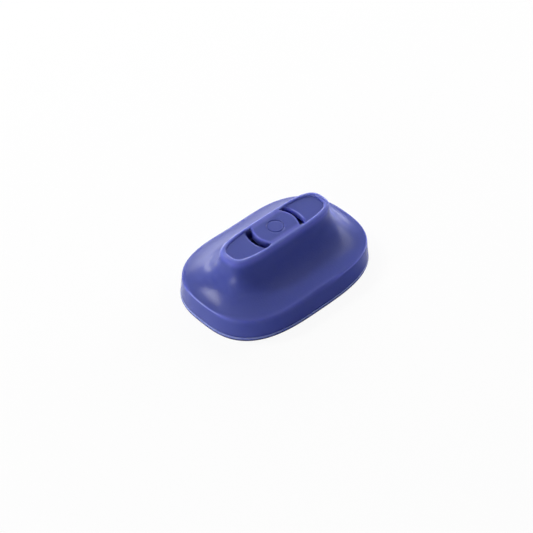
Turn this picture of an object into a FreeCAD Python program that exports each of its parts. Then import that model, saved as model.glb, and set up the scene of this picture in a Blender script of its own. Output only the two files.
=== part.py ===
"""Raised silicone mouthpiece cap for an oval hand-held vaporiser.

Millimetres. +X runs along the oval, +Y across it, +Z is up. The origin is the centre of the base plane.
The outer skin is a bell: an upright skirt, a rounded shoulder edge and a hollow flare up to a narrow lip.
A firmer frame stands inside it and carries the two end pads. The centre disc and its stem slide down
through the frame to reach the button of the device below.
"""
import FreeCAD, Part
import Sketcher
import math
import os

doc = FreeCAD.newDocument("mouthpiece_cap")

# Driving dimensions: alias, value, what it is
driving_dimensions = [
    ("cap_length", 30.5, "length over the base"),
    ("cap_width", 20.6, "width over the base"),
    ("cap_height", 10.2, "base plane to lip"),
    ("base_end_power", 3.05, "fullness of the base outline along X"),
    ("base_side_power", 2.8, "fullness of the base outline along Y"),
    ("shoulder_height", 3.95, "top of the skirt's rounded edge"),
    ("shoulder_length", 30.04, "length over the top of the skirt"),
    ("shoulder_width", 19.66, "width over the top of the skirt"),
    ("shoulder_end_power", 3.63, "fullness of that outline along X"),
    ("shoulder_side_power", 2.47, "fullness of that outline along Y"),
    ("shoulder_radius", 0.3, "rounding between skirt and shoulder, at the ends and corners"),
    ("side_radius", 0.6, "the same rounding, at the middle of the long sides"),
    ("side_soft_to", 0.5, "distance along X up to which the edge has the side's rounding"),
    ("side_crisp_from", 8.0, "distance along X from which it has the end's rounding"),
    ("shoulder_slope", 0.1, "rise of the shoulder per unit inwards"),
    ("skirt_lean", 0.05, "how far the skirt's foot stands back from the base ring"),
    ("lip_length", 20.3, "length over the lip"),
    ("lip_width", 6.1, "width over the lip"),
    ("lip_end_power", 5.0, "fullness of the lip outline along X"),
    ("lip_side_power", 2.85, "fullness of the lip outline along Y"),
    ("lip_roll_width", 0.36, "how far the lip's outer edge rolls inwards, along Y"),
    ("lip_roll_length", 0.56, "the same, along X"),
    ("lip_roll_height", 0.6, "height of that rolled edge"),
    ("neck_height", 0.4, "upright stretch under the lip's rolled edge"),
    ("window_length", 18.3, "length of the opening inside the lip"),
    ("window_width", 4.8, "width of the opening inside the lip"),
    ("window_power", 3.5, "fullness of the opening's outline"),
    ("skin_wall", 1.5, "thickness of the skin at the skirt"),
    ("crown_wall", 1.2, "thickness of the skin at the shoulder"),
    ("hollow_edge", 0.6, "rounding of the hollow's shoulder edge"),
    ("window_depth", 2.0, "straight depth of the opening inside the lip"),
    ("frame_wall", 0.85, "thickness of the frame"),
    ("tower_wall", 0.6, "thickness of the frame's tower under the pads"),
    ("bond_gap", 0.05, "glue line between skin and frame"),
    ("seal_gap", 0.02, "glue line between frame and socket seal"),
    ("ring_height", 0.72, "height of the base ring"),
    ("ring_round", 0.2, "swell of the base ring's outer side"),
    ("ring_reach", 2.2, "width of the base ring, seen from below"),
    ("pad_drop", 0.3, "end pads below the lip"),
    ("pad_thickness", 0.8, "thickness of the end pads"),
    ("pad_edge", 0.36, "rounding of a pad's edge at the air slot"),
    ("disc_radius", 3.65, "radius of the centre disc"),
    ("disc_thickness", 1.3, "thickness of the centre disc"),
    ("disc_edge", 0.2, "rounding of the disc's edge at the air slots"),
    ("disc_half_width", 1.75, "half width of the stiff part of the disc"),
    ("slot_gap", 0.93, "width of the crescent air slots"),
    ("mark_radius", 1.3, "radius of the ring sunk in the disc"),
    ("mark_depth", 0.13, "depth of the ring sunk in the disc"),
    ("web_thickness", 0.35, "thickness of the flexing webs"),
    ("press_travel", 0.5, "how far the disc goes down"),
    ("stem_radius", 1.2, "radius of the pusher stem"),
    ("stem_foot", 4.9, "height of the stem's lower end"),
    ("stem_chamfer", 0.25, "chamfer of the stem's foot"),
    ("stem_flange_radius", 1.6, "radius of the flange under the disc"),
    ("stem_flange_height", 0.4, "thickness of that flange"),
    ("guide_clearance", 0.07, "radial gap between stem and guide"),
    ("guide_half_length", 2.0, "half length of the bridge that guides the stem"),
    ("guide_bottom", 5.8, "lower end of the stem's guide"),
    ("guide_top", 7.5, "upper end of the stem's guide"),
    ("guide_root", 0.2, "how far the bridge and deck stop short of the opening's sides"),
    ("deck_half_length", 6.6, "half length of the deck under the air slots"),
    ("deck_thickness", 0.8, "thickness of that deck"),
    ("relief_half_length", 4.3, "half length of the cut in the tower under the disc"),
    ("press_clearance", 0.3, "room left under the disc when it is pressed"),
    ("seal_bottom", 0.64, "lower edge of the socket seal"),
    ("seal_height", 0.6, "height of the socket seal"),
    ("seal_reach", 0.45, "how far the seal stands into the socket"),
    ("seal_swell", 0.4, "swell of the seal's lip"),
    ("overrun", 0.4, "how far a cutting form runs past what it cuts"),
]

sheet = doc.addObject("Spreadsheet::Sheet", "sizes")
for row, (alias, value, note) in enumerate(driving_dimensions, start=1):
    sheet.set("A%d" % row, alias)
    sheet.set("B%d" % row, str(value))
    sheet.set("C%d" % row, note)
    sheet.setAlias("B%d" % row, alias)
doc.recompute()


def size(alias):
    """A driving dimension, read from the sheet."""
    return float(sheet.get(alias))


# ---------------------------------------------------------------- outlines and bells

OUTLINE_POINTS = 96


def outline(half_length, half_width, end_power, side_power, height):
    """Control points of the level closed curve |x/a|^n + |y/b|^m = 1."""
    points = []
    for step in range(OUTLINE_POINTS):
        angle = 2 * math.pi * step / OUTLINE_POINTS
        across, up = abs(math.cos(angle)), abs(math.sin(angle))
        low, high = 0.5, 2.0
        for _ in range(50):
            reach = (low + high) / 2
            if (reach * across) ** end_power + (reach * up) ** side_power > 1:
                high = reach
            else:
                low = reach
        points.append(FreeCAD.Vector(half_length * reach * math.cos(angle),
                                     half_width * reach * math.sin(angle), height))
    return points


def set_in(shape, inset):
    """Half sizes and powers of an outline that stands back by the inset."""
    return (shape[0] - inset, shape[1] - inset, shape[2], shape[3])


def mixed(first, second, share):
    return tuple(low + share * (high - low) for low, high in zip(first, second))


def base_shape(inset):
    base = (size("cap_length") / 2, size("cap_width") / 2, size("base_end_power"), size("base_side_power"))
    return set_in(base, inset)


def base_outline(inset, height):
    return outline(*base_shape(inset), height)


def window_outline(inset, height):
    power = size("window_power")
    return outline(size("window_length") / 2 - inset, size("window_width") / 2 - inset,
                   power, power, height)


SKIRT_STEPS = 7
EDGE_STEPS = 4
FLARE_STEPS = 15


def bell(foot, foot_height, shoulder, edge_radius, edge_height, top, top_height):
    """Outlines of a bell: a skirt, a rounded shoulder edge, then a flare up to an upright neck.

    The skirt runs from the foot's outline to the shoulder's. The flare is a quarter circle stretched to its reach
    and height, on top of a slightly sloping shoulder.
    """
    edge_start = edge_height - edge_radius
    sections = []
    for step in range(SKIRT_STEPS):
        share = step / SKIRT_STEPS
        sections.append(outline(*mixed(foot, shoulder, share), foot_height + share * (edge_start - foot_height)))
    for step in range(EDGE_STEPS + 1):
        turn = math.pi / 2 * step / EDGE_STEPS
        sections.append(outline(*set_in(shoulder, edge_radius * (1 - math.cos(turn))),
                                edge_height - edge_radius * (1 - math.sin(turn))))
    inner = set_in(shoulder, edge_radius)
    slope_rise = size("shoulder_slope") * (inner[1] - top[1])
    for step in range(1, FLARE_STEPS + 1):
        turn = math.pi / 2 * step / FLARE_STEPS
        height = edge_height + slope_rise * math.sin(turn)
        height += (top_height - edge_height - slope_rise) * (1 - math.cos(turn))
        sections.append(outline(*mixed(inner, top, math.sin(turn)), height))
    return sections


def softened(crisp, soft):
    """Outlines that follow the soft stack at the middle of the long sides and the crisp one elsewhere."""
    near, far = size("side_soft_to"), size("side_crisp_from")
    sections = []
    for crisp_section, soft_section in zip(crisp, soft):
        section = []
        for crisp_point, soft_point in zip(crisp_section, soft_section):
            along = min(1, max(0, (far - abs(crisp_point.x)) / (far - near)))
            section.append(crisp_point + (soft_point - crisp_point) * (along * along * (3 - 2 * along)))
        sections.append(section)
    return sections


def bulged(inset, bulge, bottom, top):
    """Outlines of an upright wall that swells by the bulge at its middle, as a parabola."""
    steps = [step / 3 - 1 for step in range(7)]
    return [base_outline(inset + bulge * along ** 2, (bottom + top) / 2 + along * (top - bottom) / 2)
            for along in steps]


def lofted(name, sections):
    """Solid under one smooth surface whose control net is a stack of outlines, closed by two flat faces."""
    around, along = len(sections[0]), len(sections)
    net = [[section[step] for section in sections] for step in range(around)]
    surface = Part.BSplineSurface()
    surface.buildFromPolesMultsKnots(net, [1] * (around + 1), [4] + [1] * (along - 4) + [4],
                                     list(range(around + 1)), list(range(along - 2)), True, False, 3, 3)
    side = surface.toShape()
    faces = [side]
    for edge in side.Edges:
        if edge.isClosed() and edge.BoundBox.ZLength < 1e-6:
            end = Part.Face(Part.Wire(edge))
            outwards = 1 if edge.BoundBox.ZMin > side.BoundBox.Center.z else -1
            if end.normalAt(0, 0).z * outwards < 0:
                end.reverse()
            faces.append(end)
    shell = Part.Shell(faces)
    feature = doc.addObject("Part::Feature", name)
    feature.Shape = Part.Solid(shell)
    return feature


def extruded(name, section, depth):
    """Upright solid over one outline."""
    curve = Part.BSplineCurve()
    curve.buildFromPolesMultsKnots(section, [1] * (len(section) + 1), list(range(len(section) + 1)), True, 3)
    feature = doc.addObject("Part::Feature", name)
    feature.Shape = Part.Face(Part.Wire(curve.toShape())).extrude(FreeCAD.Vector(0, 0, depth))
    return feature


# ---------------------------------------------------------------- document helpers

def bound(kind, name, **expressions):
    """A document object whose properties are tied to the sheet."""
    item = doc.addObject(kind, name)
    for place, expression in expressions.items():
        item.setExpression(place.replace("_at_", "Placement.Base."), expression)
    return item


def cylinder(name, radius, bottom, top):
    return bound("Part::Cylinder", name, Radius=radius, Height="(%s) - (%s)" % (top, bottom),
                 _at_z=bottom)


def box(name, low, high):
    """Box between two corners, each three expressions."""
    sides = {side: "(%s) - (%s)" % (far, near)
             for side, near, far in zip(("Length", "Width", "Height"), low, high)}
    return bound("Part::Box", name, _at_x=low[0], _at_y=low[1], _at_z=low[2], **sides)


def cut(name, base, tool):
    item = doc.addObject("Part::Cut", name)
    item.Base, item.Tool = base, tool
    return item


def merged(kind, name, shapes):
    item = doc.addObject(kind, name)
    item.Shapes = shapes
    return item


def rounded(name, base, radius_alias, is_wanted):
    """Fillet on the edges that the test picks."""
    doc.recompute()
    radius = size(radius_alias)
    item = doc.addObject("Part::Fillet", name)
    item.Base = base
    item.Edges = [(number, radius, radius)
                  for number, edge in enumerate(base.Shape.Edges, start=1) if is_wanted(edge)]
    return item


def is_arc_at(radius, height):
    """Test for a circular edge of this radius at this height."""
    def test(edge):
        return (isinstance(edge.Curve, Part.Circle) and abs(edge.Curve.Radius - radius) < 1e-4
                and abs(edge.Curve.Center.z - height) < 1e-4)
    return test


# Heights and outlines that several pieces share
cap_top = size("cap_height")
pad_top = cap_top - size("pad_drop")
pad_bottom = pad_top - size("pad_thickness")
ring_top = size("ring_height")
lip = (size("lip_length") / 2, size("lip_width") / 2, size("lip_end_power"), size("lip_side_power"))
window = (size("window_length") / 2, size("window_width") / 2, size("window_power"), size("window_power"))

# ---------------------------------------------------------------- outer skin

roll_height = size("lip_roll_height")
neck_top = cap_top - roll_height
shoulder = (size("shoulder_length") / 2, size("shoulder_width") / 2, size("shoulder_end_power"),
            size("shoulder_side_power"))
skin_stacks = [bell(base_shape(size("skirt_lean")), ring_top, shoulder, size(alias), size("shoulder_height"), lip,
                    neck_top - size("neck_height")) for alias in ("shoulder_radius", "side_radius")]
skin_sections = softened(*skin_stacks)
skin_sections += [outline(*lip, neck_top - share * size("neck_height")) for share in (0.5, 0)]
for degrees in (30, 60, 90):
    turn = math.radians(degrees)
    share = 1 - math.cos(turn)
    skin_sections.append(outline(lip[0] - share * size("lip_roll_length"), lip[1] - share * size("lip_roll_width"),
                                 lip[2], lip[3], neck_top + roll_height * math.sin(turn)))
skin_form = lofted("skin_form", skin_sections)

hollow_edge = size("hollow_edge")
hollow_inset = size("skin_wall")
hollow_shape = base_shape(hollow_inset)
hollow_shoulder = size("shoulder_height") - size("crown_wall")
hollow_top = cap_top - size("window_depth")
overrun = size("overrun")
skin_hollow = lofted("skin_hollow", bell(hollow_shape, ring_top - overrun, hollow_shape, hollow_edge,
                                         hollow_shoulder, window, hollow_top))
skin_window = extruded("skin_window", window_outline(0, hollow_top - overrun), size("window_depth") + 2 * overrun)
outer_skin = cut("outer_skin", cut("skin_open_below", skin_form, skin_hollow), skin_window)

# ---------------------------------------------------------------- inner frame

gap = size("bond_gap")
frame_shape = set_in(hollow_shape, gap)
frame_form = lofted("frame_form", bell(frame_shape, ring_top, frame_shape, hollow_edge, hollow_shoulder - gap,
                                       set_in(window, gap), hollow_top - gap))

wall = size("frame_wall")
tower_inset = gap + size("tower_wall")
room_inset = hollow_inset + gap + wall
room_shape = base_shape(room_inset)
frame_room = lofted("frame_room", bell(room_shape, ring_top - overrun, room_shape, hollow_edge,
                                       hollow_shoulder - gap - wall, set_in(window, tower_inset),
                                       hollow_top - gap - wall))

tower_foot = hollow_top - wall
tower_form = extruded("tower_form", window_outline(gap, tower_foot), pad_bottom - tower_foot)
tower_bore = extruded("tower_bore", window_outline(tower_inset, tower_foot - wall), pad_bottom - tower_foot + 2 * wall)
frame_block = merged("Part::MultiFuse", "frame_block", [frame_form, tower_form])
frame_shell = cut("frame_shell", cut("frame_bell", frame_block, frame_room), tower_bore)
root = "sizes.window_width / 2 - sizes.guide_root"
guide_bridge = box("guide_bridge", ("-sizes.guide_half_length", "-(%s)" % root, "sizes.guide_bottom"),
                   ("sizes.guide_half_length", root, "sizes.guide_top"))
slot_deck = box("slot_deck", ("-sizes.deck_half_length", "-(%s)" % root, "sizes.guide_top - sizes.deck_thickness"),
                ("sizes.deck_half_length", root, "sizes.guide_top"))
guide_bore = cylinder("guide_bore", "sizes.stem_radius + sizes.guide_clearance",
                      "sizes.guide_bottom - sizes.overrun", "sizes.guide_top + sizes.overrun")
relief_floor = "sizes.cap_height - sizes.disc_thickness - sizes.press_travel - sizes.press_clearance"
relief = box("relief", ("-sizes.relief_half_length", "-sizes.window_width", relief_floor),
             ("sizes.relief_half_length", "sizes.window_width", "sizes.cap_height"))
frame_bridged = merged("Part::MultiFuse", "frame_bridged", [frame_shell, guide_bridge, slot_deck])
inner_frame = cut("inner_frame", cut("frame_guided", frame_bridged, guide_bore), relief)

# ---------------------------------------------------------------- base ring and socket seal

ring_form = lofted("ring_form", bulged(0, size("ring_round"), 0, ring_top))
ring_hole = extruded("ring_hole", base_outline(size("ring_reach"), -overrun), ring_top + 2 * overrun)
base_ring = cut("base_ring", ring_form, ring_hole)

seal_low = size("seal_bottom")
seal_high = seal_low + size("seal_height")
seal_reach = size("seal_reach")
seal_form = extruded("seal_form", base_outline(room_inset + size("seal_gap"), seal_low), size("seal_height"))
seal_mouth = lofted("seal_mouth", bulged(room_inset + seal_reach, -size("seal_swell"), seal_low - gap,
                                         seal_high + gap))
socket_seal = cut("socket_seal", seal_form, seal_mouth)

# ---------------------------------------------------------------- end pads

pad_plate = extruded("pad_plate", window_outline(gap, pad_bottom), size("pad_thickness"))
pad_clear = cylinder("pad_clear", "sizes.disc_radius + sizes.slot_gap", "0", "sizes.cap_height + 1")
pad_radius = size("disc_radius") + size("slot_gap")
end_pads = {}
for name, near, far in (("end_pad_left", "-sizes.cap_length", "0"), ("end_pad_right", "0", "sizes.cap_length")):
    half = box(name + "_half", (near, "-sizes.cap_width", "0"), (far, "sizes.cap_width", "sizes.cap_height"))
    plate = cut(name + "_plate", merged("Part::MultiCommon", name + "_side", [pad_plate, half]), pad_clear)
    end_pads[name] = rounded(name, plate, "pad_edge", is_arc_at(pad_radius, pad_top))

# ---------------------------------------------------------------- centre disc, stem and webs

disc_round = cylinder("disc_round", "sizes.disc_radius", "sizes.cap_height - sizes.disc_thickness",
                      "sizes.cap_height")
disc_band = box("disc_band", ("-sizes.cap_width", "-sizes.disc_half_width", "0"),
                ("sizes.cap_width", "sizes.disc_half_width", "sizes.cap_height + 1"))
disc_plain = rounded("disc_plain", merged("Part::MultiCommon", "disc_blank", [disc_round, disc_band]),
                     "disc_edge", is_arc_at(size("disc_radius"), cap_top))
disc_mark = bound("Part::Torus", "disc_mark", Radius1="sizes.mark_radius", Radius2="sizes.mark_depth",
                  _at_z="sizes.cap_height")
press_disc = cut("press_disc", disc_plain, disc_mark)

web_plate = extruded("web_plate", window_outline(0, cap_top - size("web_thickness")), size("web_thickness"))
webs = {}
for name, near, far in (("web_front", "-sizes.cap_width", "-sizes.disc_half_width"),
                        ("web_back", "sizes.disc_half_width", "sizes.cap_width")):
    band = box(name + "_band", ("-sizes.cap_width", near, "0"), ("sizes.cap_width", far, "sizes.cap_height + 1"))
    reach = cylinder(name + "_reach", "sizes.disc_radius", "0", "sizes.cap_height + 1")
    webs[name] = merged("Part::MultiCommon", name, [web_plate, reach, band])


def stem_body():
    """Turned pusher: a straight stem with a chamfered foot and a flange on top, as one revolved sketch."""
    body = doc.addObject("PartDesign::Body", "pusher_stem")
    sketch = body.newObject("Sketcher::SketchObject", "stem_profile")
    plane = next(item for item in body.Origin.OriginFeatures if item.Role == "XZ_Plane")
    sketch.AttachmentSupport, sketch.MapMode = (plane, ""), "FlatFace"
    foot, flange_top = size("stem_foot"), cap_top - size("disc_thickness")
    flange_bottom = flange_top - size("stem_flange_height")
    radius, flange_radius, chamfer = size("stem_radius"), size("stem_flange_radius"), size("stem_chamfer")
    corners = [(0, foot), (radius - chamfer, foot), (radius, foot + chamfer), (radius, flange_bottom),
               (flange_radius, flange_bottom), (flange_radius, flange_top), (0, flange_top)]
    corners = [FreeCAD.Vector(across, height, 0) for across, height in corners]
    for start, end in zip(corners, corners[1:] + corners[:1]):
        sketch.addGeometry(Part.LineSegment(start, end), False)
    last = len(corners) - 1
    for line in range(len(corners)):
        sketch.addConstraint(Sketcher.Constraint("Coincident", line, 2, (line + 1) % len(corners), 1))
    for line, direction in ((0, "Horizontal"), (2, "Vertical"), (3, "Horizontal"), (4, "Vertical"),
                            (5, "Horizontal")):
        sketch.addConstraint(Sketcher.Constraint(direction, line))
    sketch.addConstraint(Sketcher.Constraint("PointOnObject", last, 1, -2))
    sketch.addConstraint(Sketcher.Constraint("PointOnObject", last, 2, -2))
    widths = [("DistanceX", 2, 1, radius, "sizes.stem_radius"),
              ("DistanceX", 4, 1, flange_radius, "sizes.stem_flange_radius"),
              ("DistanceX", 0, 2, radius - chamfer, "sizes.stem_radius - sizes.stem_chamfer"),
              ("DistanceY", 0, 2, foot, "sizes.stem_foot"),
              ("DistanceY", 2, 1, foot + chamfer, "sizes.stem_foot + sizes.stem_chamfer"),
              ("DistanceY", 4, 1, flange_bottom,
               "sizes.cap_height - sizes.disc_thickness - sizes.stem_flange_height"),
              ("DistanceY", 4, 2, flange_top, "sizes.cap_height - sizes.disc_thickness")]
    for kind, line, end, value, expression in widths:
        number = sketch.addConstraint(Sketcher.Constraint(kind, -1, 1, line, end, value))
        sketch.setExpression("Constraints[%d]" % number, expression)
    turned = body.newObject("PartDesign::Revolution", "stem_turned")
    turned.Profile = sketch
    turned.ReferenceAxis = (sketch, ["V_Axis"])
    turned.Angle = 360
    return body


pusher_stem = stem_body()

# ---------------------------------------------------------------- check and write

pieces = {"outer_skin": outer_skin, "inner_frame": inner_frame, "base_ring": base_ring,
          "socket_seal": socket_seal, "press_disc": press_disc, "pusher_stem": pusher_stem,
          **end_pads, **webs}
doc.recompute()
for item in doc.Objects:
    if {"Invalid", "Error"} & set(item.State):
        raise RuntimeError("%s failed: %s" % (item.Name, item.State))

os.makedirs("parts", exist_ok=True)
for name, piece in pieces.items():
    piece.Label = name
    shape = piece.Shape
    if shape.isNull() or not shape.isValid() or len(shape.Solids) != 1:
        raise RuntimeError("%s isn't one valid solid" % name)
    shape.exportStep("parts/%s.step" % name)
    box_of = shape.BoundBox
    print("%-14s %8.2f mm3  z %.2f to %.2f  %.2f x %.2f" % (name, shape.Volume, box_of.ZMin, box_of.ZMax,
                                                            box_of.XLength, box_of.YLength))
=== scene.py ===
import bpy
import math
import numpy as np
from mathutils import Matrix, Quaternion, Vector


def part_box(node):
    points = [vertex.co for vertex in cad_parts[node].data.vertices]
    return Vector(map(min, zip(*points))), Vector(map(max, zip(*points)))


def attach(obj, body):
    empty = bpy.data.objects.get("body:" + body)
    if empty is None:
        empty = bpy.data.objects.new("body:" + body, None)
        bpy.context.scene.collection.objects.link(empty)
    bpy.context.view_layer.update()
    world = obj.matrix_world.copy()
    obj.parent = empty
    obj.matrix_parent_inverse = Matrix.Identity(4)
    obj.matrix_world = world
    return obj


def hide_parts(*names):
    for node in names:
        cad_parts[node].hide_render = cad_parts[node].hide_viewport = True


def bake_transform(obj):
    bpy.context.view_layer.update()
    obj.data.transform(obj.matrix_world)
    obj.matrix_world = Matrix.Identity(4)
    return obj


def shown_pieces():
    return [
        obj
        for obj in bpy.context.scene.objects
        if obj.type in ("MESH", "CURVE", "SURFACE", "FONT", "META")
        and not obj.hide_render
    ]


# Raised silicone mouthpiece cap. Sizes in the settings are millimetres, meshes are in metres.
# X runs along the oval, Y across it, Z is up, and z = 0 is the base plane.

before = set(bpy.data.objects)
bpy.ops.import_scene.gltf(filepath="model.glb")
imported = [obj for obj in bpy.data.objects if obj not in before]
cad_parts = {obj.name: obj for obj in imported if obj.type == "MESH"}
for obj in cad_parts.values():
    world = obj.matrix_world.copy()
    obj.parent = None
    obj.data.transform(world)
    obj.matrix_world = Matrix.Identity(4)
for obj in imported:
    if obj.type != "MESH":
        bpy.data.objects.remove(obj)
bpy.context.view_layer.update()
print("frame loaded:", sorted(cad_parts))

sharpAngle = 50    # edges that turn by more degrees than this stay crisp


def nodeBox(name):
    # Lowest and highest corner of a CAD node, in millimetres.
    low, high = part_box(name)
    return np.array(low) * 1000, np.array(high) * 1000


def smoothStep(low, high, value):
    # 0 up to low, 1 from high on, and three t squared less two t cubed in between.
    t = np.clip((value - low) / (high - low), 0, 1)
    return t * t * (3 - 2 * t)


def quarterTurn(count):
    # Evenly spaced angles from nought to a right angle, both ends among them.
    return np.linspace(0, math.pi / 2, count)


def roundAngles(count):
    # Evenly spaced angles once round.
    return np.arange(count) * 2 * math.pi / count


def outlineGrid(halfLength, halfWidth, endPower, sidePower, angles):
    # Points of |x/a|^n + |y/b|^m = 1 on rays at the given angles of (x/a, y/b), for every row of a, b, n, m:
    # the reach along each ray is found by halving.
    across, up = np.abs(np.cos(angles)), np.abs(np.sin(angles))
    shape = np.broadcast(halfLength, angles).shape
    low, high = np.full(shape, 0.5), np.full(shape, 2.0)
    for _ in range(40):
        reach = (low + high) / 2
        outside = (reach * across) ** endPower + (reach * up) ** sidePower > 1
        high, low = np.where(outside, reach, high), np.where(outside, low, reach)
    return halfLength * reach * np.cos(angles), halfWidth * reach * np.sin(angles)


def stationRows(stations, angles):
    # Each station is (a, b, n, m, z), and each of these is one number or a value for every angle. Its outline
    # is one row of the grid.
    a, b, n, m, z = (np.stack([np.broadcast_to(value, angles.shape) for value in column])
                     for column in zip(*stations))
    x, y = outlineGrid(a, b, n, m, angles[None, :])
    return np.stack([x, y, z], axis=-1)


def setIn(shape, inset, z):
    # Station at height z: the outline with both half sizes smaller by the inset.
    return (shape[0] - inset, shape[1] - inset, shape[2], shape[3], z)


def mixed(first, second, share):
    # Station part way from the first to the second, in a straight line.
    return tuple(low + share * (high - low) for low, high in zip(first, second))


def meshFromFaces(name, points, faces):
    mesh = bpy.data.meshes.new(name)
    mesh.from_pydata((points / 1000).tolist(), [], faces)
    mesh.polygons.foreach_set("use_smooth", np.full(len(mesh.polygons), True))
    mesh.validate()
    mesh.update()
    piece = bpy.data.objects.new(name, mesh)
    bpy.context.scene.collection.objects.link(piece)
    return piece


def meshFromGrid(name, points, closeAlong=False, capEnds=False, paintedShading=0):
    # A grid of points, rows by columns, becomes quads. Each row is a closed loop. The rows may close into a
    # ring too, or the first and last row are each closed by one flat face. The point attribute holds painted
    # light and shade: 1 paints a highlight at a thin or rounded edge, 2 a brighter painted glint at a crisp
    # one, 0 leaves broad faces plain, and down to -1 paints shade into a crease.
    rows, columns = points.shape[:2]
    r = np.arange(rows if closeAlong else rows - 1)[:, None]
    c = np.arange(columns)[None, :]
    r1, c1 = (r + 1) % rows, (c + 1) % columns
    quads = np.stack([r * columns + c, r * columns + c1, r1 * columns + c1, r1 * columns + c], axis=-1)
    faces = quads.reshape(-1, 4).tolist()
    if capEnds:
        faces += [list(range(columns))[::-1], list(range((rows - 1) * columns, rows * columns))]
    piece = meshFromFaces(name, points.reshape(-1, 3), faces)
    share = piece.data.attributes.new("paintedShading", "FLOAT", "POINT")
    share.data.foreach_set("value", np.broadcast_to(paintedShading, points.shape[:2]).ravel().astype(np.float32))
    piece.data.set_sharp_from_angle(angle=math.radians(sharpAngle))
    return piece


def finishPiece(piece, body, slot, *nodes):
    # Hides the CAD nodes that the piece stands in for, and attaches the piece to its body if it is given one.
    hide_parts(*nodes)
    if body:
        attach(piece, body)
    print("built", piece.name)


# The outlines that every piece starts from, and the outer skin.
ringHigh = nodeBox("base_ring")[1]
skinHigh = nodeBox("outer_skin")[1]

cap = {
    "halfLength": ringHigh[0], "halfWidth": ringHigh[1],   # base outline
    "endPower": 3.05, "sidePower": 2.8,                    # how full the base outline is
    "top": skinHigh[2],                                    # lip
    "footZ": ringHigh[2],                                  # the skin starts on top of the base ring
    "skirtLean": 0.05, "footRound": 0.12,                  # the skirt's foot: inset and rounding
    "shoulder": (15.02, 9.83, 3.63, 2.47),                 # top of the skirt: half sizes, fullness
    "shoulderZ": 3.95, "shoulderSlope": 0.1,
    "edgeRadius": 0.3, "sideRadius": 0.6,                  # shoulder's edge: at ends, at middle of sides
    "softTo": 0.5, "crispFrom": 8.0,                       # where along X it changes from one to the other
    "lip": (10.15, 3.05, 5.0, 2.85),                       # outer outline of the lip: half sizes, fullness
    "rollShare": 0.56, "rollDepth": 0.6,                   # outer roll of the lip: share of its width, depth
    "neckHeight": 0.4,                                     # upright below the roll
    "windowLength": 9.15, "windowWidth": 2.4, "windowPower": 3.5,
    "innerShare": 0.4, "innerDepth": 0.42,                 # inner roll of the lip, beside the pads
    "innerFrom": 3.15, "innerTo": 3.7,                     # where along X the inner roll starts and is full
    "wall": 1.5, "crownWall": 1.2, "hollowEdge": 0.6,      # skirt, shoulder, and the hollow's edge
    "windowDepth": 2.0, "windowStart": 0.05,               # the window's wall, and its first row
    "around": 384, "footRows": 6, "skirtRows": 10, "edgeRows": 17, "flareRows": 44, "neckRows": 5,
    "rollRows": 12, "wallRows": 6, "hollowRows": 4, "hollowFlareRows": 16,
    # Painted light and shade: depths are measured down from the lip.
    "paintedLightDepth": 1.6, "paintedLightFull": 0.32,                    # where the lip's painted light starts and is full
    "paintedRimLight": 0.12, "rimDepth": 0.4, "rimFull": 0.1,      # extra painted highlight at the rim's crown
    "paintedWallLight": 1.8, "insideDepth": 3.2,                 # painted light down the window's walls
    "paintedEndGlint": 1.5, "paintedCornerGlint": 1.2, "paintedSideHighlight": 0.3,    # painted highlight on the shoulder's edge at ends, corners and sides
    "endFull": 0.2, "endGone": 0.6,                        # share of the half width that counts as the end
    "narrowFrom": 1, "narrowTo": 6,                        # where along X the sides' band narrows to a line
    "bandWidth": 0.9, "lineWidth": 0.24,
    "grooveShade": 0.7, "grooveHeight": 0.2,               # painted shade: the foot darkens into the groove below it
}


def baseStation(inset, z):
    # Station on the base outline, drawn in by the inset.
    return setIn((cap["halfLength"], cap["halfWidth"], cap["endPower"], cap["sidePower"]), inset, z)


def flareStations(shape, radius, edgeZ, top, topZ, steps):
    # Rounded shoulder edge, then a quarter circle stretched to its reach and height on a sloping shoulder.
    stations = [setIn(shape, radius * (1 - math.cos(t)), edgeZ - radius * (1 - math.sin(t)))
                for t in quarterTurn(cap["edgeRows"])]
    foot = setIn(shape, radius, edgeZ)
    slopeRise = cap["shoulderSlope"] * (foot[1] - top[1])
    for t in quarterTurn(steps + 1)[1:]:
        share = math.sin(t)
        stations.append((*mixed(foot[:4], top, share),
                         edgeZ + slopeRise * share + (topZ - edgeZ - slopeRise) * (1 - math.cos(t))))
    return stations


def lipRows(outerLoop, window, angles):
    # The top of the lip runs from the outer outline to the window's: it rolls over at both edges on
    # stretched quarter circles. The inner roll dies away where the disc meets the lip.
    outerEdge = outerLoop * [1, 1, 0] + [0, 0, cap["top"]]
    innerEdge = stationRows([(*window, cap["top"])], angles)[0]
    fade = smoothStep(cap["innerFrom"], cap["innerTo"], np.abs(innerEdge[:, :1]))
    down = np.array([0, 0, -1])
    quarter = quarterTurn(cap["rollRows"])
    steps = [(cap["rollShare"] * (1 - math.cos(t)), cap["rollDepth"] * (1 - math.sin(t)))
             for t in quarter[1:]]
    steps += [(1 - cap["innerShare"] * (1 - math.sin(t)), cap["innerDepth"] * (1 - math.cos(t)) * fade)
              for t in quarter]
    return np.array([outerEdge + (innerEdge - outerEdge) * share + down * depth for share, depth in steps])


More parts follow.
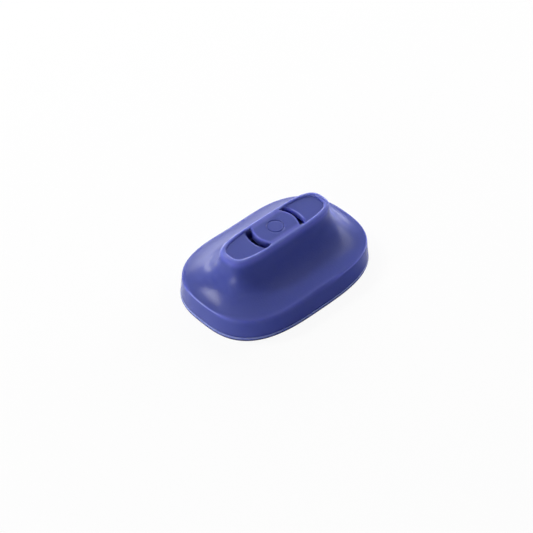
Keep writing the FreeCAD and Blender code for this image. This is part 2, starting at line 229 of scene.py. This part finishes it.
def skinPaintedShading(rows, outsideCount, lipCount, edgeEnd):
    # Painted light towards the lip, a painted highlight along the shoulder's edge, painted light down the
    # window's walls and painted shade in the groove. The outer face has the first rows, then comes the lip.
    # The shoulder's rounded edge ends at row edgeEnd.
    top, height, outside = cap["top"], rows[..., 2], rows[:outsideCount]
    paintedShading = smoothStep(top - cap["paintedLightDepth"], top - cap["paintedLightFull"], height)
    paintedShading += cap["paintedRimLight"] * smoothStep(top - cap["rimDepth"], top - cap["rimFull"], height)
    inner = outsideCount + lipCount
    paintedShading[inner:] = cap["paintedWallLight"] * smoothStep(top - cap["insideDepth"], top, height[inner:])
    # The shoulder's edge gets a painted glint: a crisp, very pale line at the two ends, and a faint, broader
    # painted highlight band along the sides, which narrows towards +X.
    atEnd = 1 - smoothStep(cap["endFull"], cap["endGone"], np.abs(outside[..., 1]) / cap["halfWidth"])
    narrow = np.maximum(atEnd, smoothStep(cap["narrowFrom"], cap["narrowTo"], outside[..., 0]))
    away = np.linalg.norm(outside - outside[edgeEnd - cap["edgeRows"] // 2], axis=-1)
    width = cap["bandWidth"] + (cap["lineWidth"] - cap["bandWidth"]) * narrow
    strength = (cap["paintedSideHighlight"] + (cap["paintedCornerGlint"] - cap["paintedSideHighlight"]) * narrow
                + (cap["paintedEndGlint"] - cap["paintedCornerGlint"]) * atEnd)
    paintedShading[:outsideCount] += smoothStep(0, 1, 1 - away / width) * strength
    # Painted shade where the foot runs into the groove.
    groove = 1 - smoothStep(0, cap["grooveHeight"], outside[..., 2] - cap["footZ"])
    paintedShading[:outsideCount] -= cap["grooveShade"] * groove
    return paintedShading


def buildSkin():
    # The outer face climbs from the foot over the shoulder's edge to the lip, the lip turns in to the window,
    # the window's walls go down, and the hollow's face comes back to the foot.
    angles = roundAngles(cap["around"])
    lip, shoulder, top = cap["lip"], cap["shoulder"], cap["top"]
    window = (cap["windowLength"], cap["windowWidth"], cap["windowPower"], cap["windowPower"])
    lean, footZ, footRound = cap["skirtLean"], cap["footZ"], cap["footRound"]
    outside = [baseStation(lean + footRound * (1 - math.sin(t)), footZ + footRound * (1 - math.cos(t)))
               for t in quarterTurn(cap["footRows"])]
    alongX = np.abs(outlineGrid(*shoulder, angles)[0])
    crisp = smoothStep(cap["softTo"], cap["crispFrom"], alongX)
    edgeRadius = cap["sideRadius"] + (cap["edgeRadius"] - cap["sideRadius"]) * crisp
    skirtFoot = baseStation(lean, footZ + footRound)
    outside += [mixed(skirtFoot, setIn(shoulder, 0, cap["shoulderZ"] - edgeRadius), share)
                for share in np.linspace(0, 1, cap["skirtRows"])[1:-1]]
    neckZ = top - cap["rollDepth"]
    neckFoot = neckZ - cap["neckHeight"]
    edgeEnd = len(outside) + cap["edgeRows"] - 1
    outside += flareStations(shoulder, edgeRadius, cap["shoulderZ"], lip, neckFoot, cap["flareRows"])
    outside += [(*lip, z) for z in np.linspace(neckFoot, neckZ, cap["neckRows"])[1:]]
    outsideRows = stationRows(outside, angles)
    rimRows = lipRows(outsideRows[-1], window, angles)
    hollowZ, crownZ = top - cap["windowDepth"], cap["shoulderZ"] - cap["crownWall"]
    wallTop = top - cap["innerDepth"] - cap["windowStart"]
    walls = stationRows([(*window, z) for z in np.linspace(wallTop, hollowZ, cap["wallRows"])], angles)
    inside = [baseStation(cap["wall"], z)
              for z in np.linspace(footZ, crownZ - cap["hollowEdge"], cap["hollowRows"])[:-1]]
    inside += flareStations(baseStation(cap["wall"], 0)[:4], cap["hollowEdge"], crownZ, window, hollowZ,
                            cap["hollowFlareRows"])
    insideRows = stationRows(inside, angles)[::-1]
    rows = np.concatenate([outsideRows, rimRows, walls, insideRows[1:]])
    paintedShading = skinPaintedShading(rows, len(outsideRows), len(rimRows), edgeEnd)
    return meshFromGrid("cap_skin", rows, closeAlong=True, paintedShading=paintedShading)


finishPiece(buildSkin(), "cap", "silicone", "outer_skin")

# The centre disc, and the two webs that join it to the lip.
discLow, discHigh = nodeBox("press_disc")

disc = {
    "radius": discHigh[0], "halfWidth": discHigh[1], "bottom": discLow[2],
    "edgeRound": 0.2,                                      # soft edge at the air slots
    "cornerRound": 0.55,                                   # fillet where the disc runs into the lip
    "webThickness": 0.35,
    "markRadius": 1.3, "markDepth": 0.12,                  # plain ring sunk in the middle
    "markFloor": 0.054, "markEdge": 0.15,                  # half widths of its flat floor and of its mouth
    "paintedEdgeInset": 0.45, "paintedEdgeRise": 0.1,                    # painted highlight on the slot edge: how far in it starts and is full
    "paintedLightDepth": 1.2, "paintedLightFull": 0.1,                     # the same, down the slot's wall
    "lipFrom": 1.5, "lipTo": 2.4,                          # where across the cap it takes on the lip's painted light
    "rowStep": 0.045, "webRows": 20, "columns": 170, "edgeColumns": 9, "wallColumns": 4,
}


def barRows(yRows, bottomZ):
    # One closed loop of points across the disc for each y: flat top, rounded edge on a circle about the
    # centre, upright wall and flat bottom. Near the lip the edge swings outwards on a small arc.
    top, radius, edge, corner = cap["top"], disc["radius"], disc["edgeRound"], disc["cornerRound"]
    y = yRows[:, None]
    into = np.clip(np.abs(y) - (cap["windowWidth"] - corner), 0, corner)
    swing = corner - np.sqrt(corner ** 2 - into ** 2)

    def edgeX(depth):
        return np.sqrt((radius - depth) ** 2 - y ** 2) + swing

    turns = quarterTurn(disc["edgeColumns"])[None, ::-1]
    roundX = edgeX(edge * (1 - np.cos(turns)))
    roundZ = np.broadcast_to(top - edge * (1 - np.sin(turns)), roundX.shape)
    flatX = roundX[:, :1] * np.linspace(-1, 1, disc["columns"])[None, 1:-1]
    away = np.abs(np.hypot(flatX, y) - disc["markRadius"])
    flatZ = top - disc["markDepth"] * (1 - smoothStep(disc["markFloor"], disc["markEdge"], away))
    wallX = np.repeat(edgeX(0), disc["wallColumns"], axis=1)
    wallSteps = np.linspace(top - edge, bottomZ, disc["wallColumns"] + 1)[None, 1:]
    wallZ = np.broadcast_to(wallSteps, wallX.shape)
    x = np.concatenate([flatX, roundX, wallX, -wallX[:, ::-1], -roundX[:, ::-1]], axis=1)
    z = np.concatenate([flatZ, roundZ, wallZ, wallZ[:, ::-1], roundZ[:, ::-1]], axis=1)
    return np.stack([x, np.broadcast_to(y, x.shape), z], axis=-1)


def buildBar(name, yLow, yHigh, bottomZ, rows):
    # A slice of the bar between two values of y. It gets painted highlights at the slots' edges and painted
    # light towards the lip.
    points = barRows(np.linspace(yLow, yHigh, rows), bottomZ)
    x, y, z = points[..., 0], np.abs(points[..., 1]), points[..., 2]
    fromEdge = disc["radius"] - np.hypot(x, y)
    atSlot = 1 - smoothStep(disc["paintedEdgeRise"], disc["paintedEdgeInset"], fromEdge)
    nearTop = smoothStep(cap["top"] - disc["paintedLightDepth"], cap["top"] - disc["paintedLightFull"], z)
    paintedShading = np.maximum(atSlot * nearTop, smoothStep(disc["lipFrom"], disc["lipTo"], y))
    return meshFromGrid(name, points, capEnds=True, paintedShading=paintedShading)


discRows = int(2 * disc["halfWidth"] / disc["rowStep"])
pressDisc = buildBar("press_disc_top", -disc["halfWidth"], disc["halfWidth"], disc["bottom"], discRows)
finishPiece(pressDisc, "button", "silicone", "press_disc")
webEdge, webZ = cap["windowWidth"], cap["top"] - disc["webThickness"]
for name, low, high, outer in (("web_front", -webEdge, -disc["halfWidth"], -webEdge),
                               ("web_back", disc["halfWidth"], webEdge, webEdge)):
    web = buildBar(name + "_skin", low, high, webZ, disc["webRows"])
    finishPiece(web, None, "silicone", name)
    outer / 1000
    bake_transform(web)

# The end pads, which are the same shape turned half round.
padLow, padHigh = nodeBox("end_pad_right")

pad = {
    "slotRadius": 4.58, "top": padHigh[2], "bottom": padLow[2],
    "slotRound": 0.36,                                     # rolled edge at the air slot
    "cornerRound": 0.35,                                   # fillet where the slot's edge runs into the lip
    "sideGap": 0.03, "endGap": 0.01,
    "edgeShine": {-1: 0.8, 1: 1.45},                       # painted highlight on the rolled edge: left pad, right pad
    "shineFull": 0.5, "shineGone": 1.3,                    # share of the roll where that is full and gone
    "shineFrom": 1.0, "shineTo": 2.3,                      # where across the pad it dies away
    "wallShine": 0.9, "wallDepth": 1.0, "wallRise": 0.2,   # painted light on the slot wall: down from the roll, up into it
    "wallShare": 0.3,                                      # share of the roll that counts as wall
    "rows": 96, "columns": 60, "rollColumns": 12, "wallColumns": 4, "backColumns": 8,
}


def padRows():
    # One closed loop of points along the pad for each y: flat top, edge rolled down into the slot on a circle
    # about the cap's centre, upright wall, flat bottom, and the far wall on the window's outline.
    top, bottom, roll, corner = pad["top"], pad["bottom"], pad["slotRound"], pad["cornerRound"]
    reach = cap["windowWidth"] - pad["sideGap"]
    y = reach * np.sin(np.linspace(-math.pi / 2, math.pi / 2, pad["rows"]))[:, None]
    power = cap["windowPower"]
    farX = cap["windowLength"] * (1 - np.abs(y / cap["windowWidth"]) ** power) ** (1 / power)
    into = np.clip(np.abs(y) - (reach - corner), 0, corner)
    swing = corner - np.sqrt(corner ** 2 - into ** 2)

    def edgeX(depth):
        return np.minimum(np.sqrt((pad["slotRadius"] + depth) ** 2 - y ** 2) - swing, farX - pad["endGap"])

    turns = quarterTurn(pad["rollColumns"])[None, :]
    rollX = edgeX(roll * (1 - np.sin(turns)))
    rollZ = np.broadcast_to(top - roll * (1 - np.cos(turns)), rollX.shape)
    flatX = farX + (rollX[:, :1] - farX) * np.linspace(0, 1, pad["columns"])[None, :-1]
    wallX = np.repeat(rollX[:, -1:], pad["wallColumns"], axis=1)
    wallSteps = np.linspace(top - roll, bottom, pad["wallColumns"] + 1)[None, 1:]
    wallZ = np.broadcast_to(wallSteps, wallX.shape)
    backX = wallX[:, -1:] + (farX - wallX[:, -1:]) * np.linspace(0, 1, pad["backColumns"])[None, 1:]
    x = np.concatenate([flatX, rollX, wallX, backX], axis=1)
    z = np.concatenate([np.full_like(flatX, top), rollZ, wallZ, np.full_like(backX, bottom)], axis=1)
    return np.stack([x, np.broadcast_to(y, x.shape), z], axis=-1)


def buildPad(name, side):
    # Painted highlight on the rolled edge, most at the middle of the slot, and painted light down the slot's
    # wall.
    points = padRows()
    along = (np.hypot(points[..., 0], points[..., 1]) - pad["slotRadius"]) / pad["slotRound"]
    onEdge = smoothStep(0, pad["shineFull"], along)
    onEdge *= 1 - smoothStep(pad["shineFull"], pad["shineGone"], along)
    midway = 1 - smoothStep(pad["shineFrom"], pad["shineTo"], np.abs(points[..., 1]))
    wallTop = pad["top"] - pad["slotRound"]
    onWall = smoothStep(wallTop - pad["wallDepth"], wallTop + pad["wallRise"], points[..., 2])
    paintedShading = np.maximum(pad["edgeShine"][side] * onEdge * midway,
                      pad["wallShine"] * onWall * (along < pad["wallShare"]))
    if side < 0:
        points = points * np.array([-1, -1, 1])
    return meshFromGrid(name, points[:, ::-1], capEnds=True, paintedShading=paintedShading[:, ::-1])


for name, side in (("end_pad_left", -1), ("end_pad_right", 1)):
    finishPiece(buildPad(name + "_skin", side), "cap", "silicone", name)

# The rounded ring under the groove, and the seal in the hollow.
ring = {
    "reach": 2.2, "height": ringHigh[2],
    "widestZ": 0.42,                                       # height of the bead's outermost line
    "topInset": 0.3, "underInset": 0.15, "innerRound": 0.08,
    "underRows": 9, "overRows": 12,
    "topShares": (0.3, 0.65, 1.0), "baseShares": (0.0, 0.35, 0.7),    # rows on the flat top and on the base
    "shine": 1.55, "shineLow": 0.05, "shineHigh": 0.1,     # painted highlight on the bead: from below its widest line up
    "creaseDrop": 2, "creaseHeight": 0.08,                 # painted shade in the groove, where the bead's painted highlight drops below nought
    "underShade": 0.8, "shadeDepth": 0.12,                 # painted shade on the bead's underside
}


def buildRing():
    # Two stretched quarter circles meet at the widest line. The top and the base are flat, and the inside
    # is upright.
    widest, height = ring["widestZ"], ring["height"]
    topInset, underInset = ring["topInset"], ring["underInset"]
    reach, innerRound = ring["reach"], ring["innerRound"]
    stations = [baseStation(underInset * (1 - math.cos(t)), widest * (1 + math.sin(t)))
                for t in -quarterTurn(ring["underRows"])[::-1]]
    stations += [baseStation(topInset * (1 - math.cos(t)), widest + (height - widest) * math.sin(t))
                 for t in quarterTurn(ring["overRows"])[1:]]
    stations += [baseStation(topInset + share * (reach - topInset - innerRound), height)
                 for share in ring["topShares"]]
    stations += [baseStation(reach, z) for z in (height - innerRound, innerRound)]
    stations += [baseStation(reach - innerRound - share * (reach - underInset), 0)
                 for share in ring["baseShares"]]
    rows = stationRows(stations, roundAngles(cap["around"]))
    z = rows[..., 2]
    # Painted highlight on the bead, painted shade in the groove and on its underside.
    onBead = smoothStep(widest - ring["shineLow"], widest + ring["shineHigh"], z)
    inGroove = smoothStep(height - ring["creaseHeight"], height, z)
    paintedShading = onBead * (ring["shine"] - ring["creaseDrop"] * inGroove)
    paintedShading -= ring["underShade"] * (1 - smoothStep(widest - ring["shadeDepth"], widest, z))
    return meshFromGrid("base_ring_bead", rows, closeAlong=True, paintedShading=paintedShading)


seal = {
    "low": 0.64, "high": 1.24, "inset": 2.42, "reach": 0.45,
    "around": 192, "roundRows": 15, "backRows": 5,
}


def buildSeal():
    # A half circle, stretched to the seal's reach and height, that points in from an upright back.
    middle, half = (seal["low"] + seal["high"]) / 2, (seal["high"] - seal["low"]) / 2
    stations = [baseStation(seal["inset"] + seal["reach"] * math.cos(t), middle - half * math.sin(t))
                for t in np.linspace(-math.pi / 2, math.pi / 2, seal["roundRows"])][::-1]
    stations += [baseStation(seal["inset"], z)
                 for z in np.linspace(seal["high"], seal["low"], seal["backRows"])[1:-1]]
    rows = stationRows(stations, roundAngles(seal["around"]))[::-1]
    return meshFromGrid("socket_seal_lip", rows, closeAlong=True)


finishPiece(buildRing(), "cap", "silicone", "base_ring")
finishPiece(buildSeal(), "cap", "silicone", "socket_seal")

view = {
    "azimuth": -43.38, "elevation": 44.28, "distance": 289.4,
    "lens": 127.0, "sensor": 36, "shiftX": -0.0167, "shiftY": 0.0155,
    "clipStart": 0.01, "clipEnd": 20,                      # metres
}


def towards(azimuth, elevation):
    # Unit vector from the cap to a place: the azimuth in degrees round from -Y, the elevation in degrees up.
    turn, rise = math.radians(azimuth), math.radians(elevation)
    return Vector((math.sin(turn) * math.cos(rise), -math.cos(turn) * math.cos(rise), math.sin(rise)))


def placeCamera():
    back = towards(view["azimuth"], view["elevation"])
    camera = bpy.data.objects.new("camera", bpy.data.cameras.new("camera"))
    camera.data.lens, camera.data.sensor_width = view["lens"], view["sensor"]
    camera.data.shift_x, camera.data.shift_y = view["shiftX"], view["shiftY"]
    camera.data.clip_start, camera.data.clip_end = view["clipStart"], view["clipEnd"]
    camera.location = back * view["distance"] / 1000
    camera.rotation_euler = back.to_track_quat("Z", "Y").to_euler()
    bpy.context.scene.collection.objects.link(camera)
    bpy.context.scene.camera = camera
    print("camera placed")


placeCamera()


class Value:
    # A shader socket that takes part in Python arithmetic: every operator adds one Math node.
    def __init__(self, book, socket):
        self.book, self.socket = book, socket

    def maths(self, operation, first, second):
        return self.book.node("ShaderNodeMath", {"operation": operation}, {0: first, 1: second})

    def __add__(self, other):
        return self.maths("ADD", self, other)

    def __sub__(self, other):
        return self.maths("SUBTRACT", self, other)

    def __rsub__(self, other):
        return self.maths("SUBTRACT", other, self)

    def __mul__(self, other):
        return self.maths("MULTIPLY", self, other)

    def least(self, other):
        return self.maths("MINIMUM", self, other)

    __radd__, __rmul__ = __add__, __mul__


class Finish:
    # The nodes of a material or world: node() adds any node from its type, its settings and its sockets'
    # values or links.
    def __init__(self, owner):
        self.tree = owner.node_tree
        self.tree.nodes.clear()

    def node(self, kind, settings, sockets, output=0):
        made = self.tree.nodes.new(kind)
        for key, value in settings.items():
            setattr(made, key, value)
        for key, value in sockets.items():
            if isinstance(value, Value):
                self.tree.links.new(value.socket, made.inputs[key])
            else:
                made.inputs[key].default_value = value
        return Value(self, made.outputs[output])

    def place(self, output="Object"):
        return self.node("ShaderNodeTexCoord", {}, {}, output=output)

    def noise(self, place, scale, detail, roughness):
        return self.node("ShaderNodeTexNoise", {}, {"Vector": place, "Scale": scale, "Detail": detail,
                                                    "Roughness": roughness})

    def grain(self, place, look):
        # Fine noise, and the bump that it makes.
        grain = self.noise(place, look["grainScale"], look["grainDetail"], look["grainRoughness"])
        return grain, self.node("ShaderNodeBump", {}, {"Distance": look["grainHeight"], "Height": grain,
                                                       "Strength": 1.0})

    def mixColours(self, first, second, share):
        return self.node("ShaderNodeMix", {"data_type": "RGBA"}, {"Factor": share, "A": first, "B": second},
                         output="Result")

    def mixShaders(self, share, first, second):
        return self.node("ShaderNodeMixShader", {}, {0: share, 1: first, 2: second})

    def finish(self, kind, surface):
        end = self.tree.nodes.new(kind)
        self.tree.links.new(surface.socket, end.inputs["Surface"])


def newMaterial(name):
    material = bpy.data.materials.new(name)
    material.use_nodes = True
    return material


silicone = {
    "deep": (0.073, 0.093, 0.37, 1), "light": (0.085, 0.109, 0.42, 1),   # slow drift of the dyed colour
    # Painted light and shade: a painted highlight colour for rounded edges, a brighter painted glint for
    # crisp ones, and a dark painted shade.
    "edge": (0.14, 0.165, 0.6, 1), "crisp": (0.46, 0.54, 0.86, 1), "paintedShade": (0.015, 0.02, 0.1, 1),
    "driftScale": 160, "driftDetail": 3, "driftRoughness": 0.5,
    "grainScale": 3600, "grainDetail": 2, "grainRoughness": 0.6, "grainHeight": 0.000014,
    "roughness": 0.22, "driftSpread": 0.12, "grainSpread": 0.06,         # how much drift and grain change it
    "gloss": 0.2, "ior": 1.43,
    "subsurface": 1.0, "subsurfaceRadius": (0.85, 0.9, 1.0), "subsurfaceScale": 0.0005,
}
plastic = {
    "colour": (0.045, 0.055, 0.19, 1),
    "grainScale": 5000, "grainDetail": 3, "grainRoughness": 0.6, "grainHeight": 0.00001,
    "roughness": 0.5, "grainSpread": 0.1,
}


def siliconeFinish(name, look):
    # Dyed translucent silicone with a fine satin grain, with painted highlights at its edges and painted
    # shade in its creases.
    material = newMaterial(name)
    book = Finish(material)
    place = book.place()
    paintedShading = book.node("ShaderNodeAttribute", {"attribute_name": "paintedShading"}, {}, output="Fac")
    drift = book.noise(place, look["driftScale"], look["driftDetail"], look["driftRoughness"])
    colour = book.mixColours(look["deep"], look["light"], drift)
    # Mix in painted highlight, painted glint above 1 and painted shade below 0, by the point attribute.
    for tone, share in (("edge", paintedShading), ("crisp", paintedShading - 1), ("paintedShade", 0 - paintedShading)):
        colour = book.mixColours(colour, look[tone], share)
    grain, bump = book.grain(place, look)
    rough = look["roughness"] + (drift - 0.5) * look["driftSpread"] + (grain - 0.5) * look["grainSpread"]
    surface = book.node("ShaderNodeBsdfPrincipled", {}, {
        "Base Color": colour, "Roughness": rough, "Normal": bump, "IOR": look["ior"],
        "Specular IOR Level": look["gloss"],
        "Subsurface Weight": look["subsurface"], "Subsurface Radius": look["subsurfaceRadius"],
        "Subsurface Scale": look["subsurfaceScale"]})
    book.finish("ShaderNodeOutputMaterial", surface)
    return material


def plasticFinish(name, look):
    # Moulded plastic with a fine spark-eroded grain.
    material = newMaterial(name)
    book = Finish(material)
    grain, bump = book.grain(book.place(), look)
    rough = look["roughness"] + (grain - 0.5) * look["grainSpread"]
    surface = book.node("ShaderNodeBsdfPrincipled", {}, {
        "Base Color": look["colour"], "Roughness": rough, "Normal": bump})
    book.finish("ShaderNodeOutputMaterial", surface)
    return material


siliconeMaterial = siliconeFinish("satin silicone", silicone)
plasticMaterial = plasticFinish("moulded plastic", plastic)
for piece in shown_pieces():
    inside = piece.name in ("inner_frame", "pusher_stem")
    piece.data.materials.clear()
    piece.data.materials.append(plasticMaterial if inside else siliconeMaterial)

# Plain pale studio, in metres and watts: floor and sky are white to the camera and through glass. For gloss
# they are white behind the cap and dim in front of it. Soft lamps give the light.
studio = {
    "floorHalf": 1.5, "floorColour": (0.93, 0.93, 0.93, 1), "white": (1, 1, 1, 1),
    "shadowShare": 0.08,                                   # how much of the floor's own shading shows
    "sky": 0.03,                                           # even light from all round
    "dimFrom": -0.8, "whiteFrom": -0.25,                   # the gloss, by how far a direction points to +Y
    "distance": 0.4,
    "unmirrored": ("right fill",),                         # lamps that the gloss doesn't show
    # name, azimuth and elevation of each lamp, then its width, height, watts and roll
    "lamps": (
        ("left key", 215, 50, 0.22, 0.016, 0.66, -42),
        ("high softbox", 200, 66, 0.3, 0.3, 0.2, 0),
        ("left low", 174, 2, 0.26, 0.06, 0.3, 0),
        ("back softbox", 148, 22, 0.3, 0.24, 0.8, 0),
        ("right back", 84, 30, 0.13, 0.36, 0.45, 0),
        ("right low back", 121, 5, 0.09, 0.12, 0.11, 0),
        ("right low", 94, 4, 0.2, 0.1, 0.07, 0),
        ("low front left", 283, 9, 0.3, 0.2, 0.8, 0),
        ("right fill", 95, 3, 0.4, 0.2, 1.5, 0),
    ),
}


def seenDirectly(book):
    # 1 where a camera, glossy or transmission ray looks, 0 for the rays that carry light between surfaces.
    rays = [book.node("ShaderNodeLightPath", {}, {}, output=kind)
            for kind in ("Is Camera Ray", "Is Glossy Ray", "Is Transmission Ray")]
    return (rays[0] + rays[1] + rays[2]).least(1)


def whiteness(book, direction):
    # How white the studio looks along a direction from the cap.
    glossy = book.node("ShaderNodeLightPath", {}, {}, output="Is Glossy Ray")
    backward = book.node("ShaderNodeSeparateXYZ", {}, {"Vector": direction}, output="Y")
    white = book.node("ShaderNodeMapRange", {"interpolation_type": "SMOOTHSTEP"}, {
        "Value": backward, "From Min": studio["dimFrom"], "From Max": studio["whiteFrom"]})
    return 1 - glossy * (1 - white)


def buildSky():
    world = bpy.data.worlds.new("studio")
    world.use_nodes = True
    bpy.context.scene.world = world
    book = Finish(world)
    direction = book.place(output="Generated")
    lit = book.node("ShaderNodeBackground", {}, {"Strength": studio["sky"], "Color": studio["white"]})
    seen = book.node("ShaderNodeBackground", {}, {
        "Strength": whiteness(book, direction), "Color": studio["white"]})
    book.finish("ShaderNodeOutputWorld", book.mixShaders(seenDirectly(book), lit, seen))


def buildFloor():
    corners = np.array([[-1, -1, 0], [1, -1, 0], [1, 1, 0], [-1, 1, 0]])
    floor = meshFromFaces("floor", 1000 * studio["floorHalf"] * corners, [(0, 1, 2, 3)])
    material = newMaterial("white floor")
    book = Finish(material)
    direction = book.node("ShaderNodeVectorMath", {"operation": "NORMALIZE"}, {"Vector": book.place()})
    matt = book.node("ShaderNodeBsdfDiffuse", {}, {"Color": studio["floorColour"]})
    white = book.node("ShaderNodeEmission", {}, {
        "Strength": whiteness(book, direction), "Color": studio["white"]})
    shaded = book.mixShaders(studio["shadowShare"], white, matt)
    book.finish("ShaderNodeOutputMaterial", book.mixShaders(seenDirectly(book), matt, shaded))
    floor.data.materials.append(material)


def placeLamp(name, azimuth, elevation, width, height, power, roll):
    back = towards(azimuth, elevation)
    lamp = bpy.data.objects.new(name, bpy.data.lights.new(name, "AREA"))
    lamp.data.shape, lamp.data.size, lamp.data.size_y, lamp.data.energy = "ELLIPSE", width, height, power
    lamp.location = back * studio["distance"]
    lamp.visible_glossy = name not in studio["unmirrored"]
    tilt = Quaternion(back, math.radians(roll))
    lamp.rotation_euler = (tilt @ back.to_track_quat("Z", "Y")).to_euler()
    bpy.context.scene.collection.objects.link(lamp)


buildSky()
buildFloor()
for lampSettings in studio["lamps"]:
    placeLamp(*lampSettings)
print("studio lit by", len(studio["lamps"]), "lamps and the sky")
bpy.context.scene.view_settings.view_transform = "Standard"
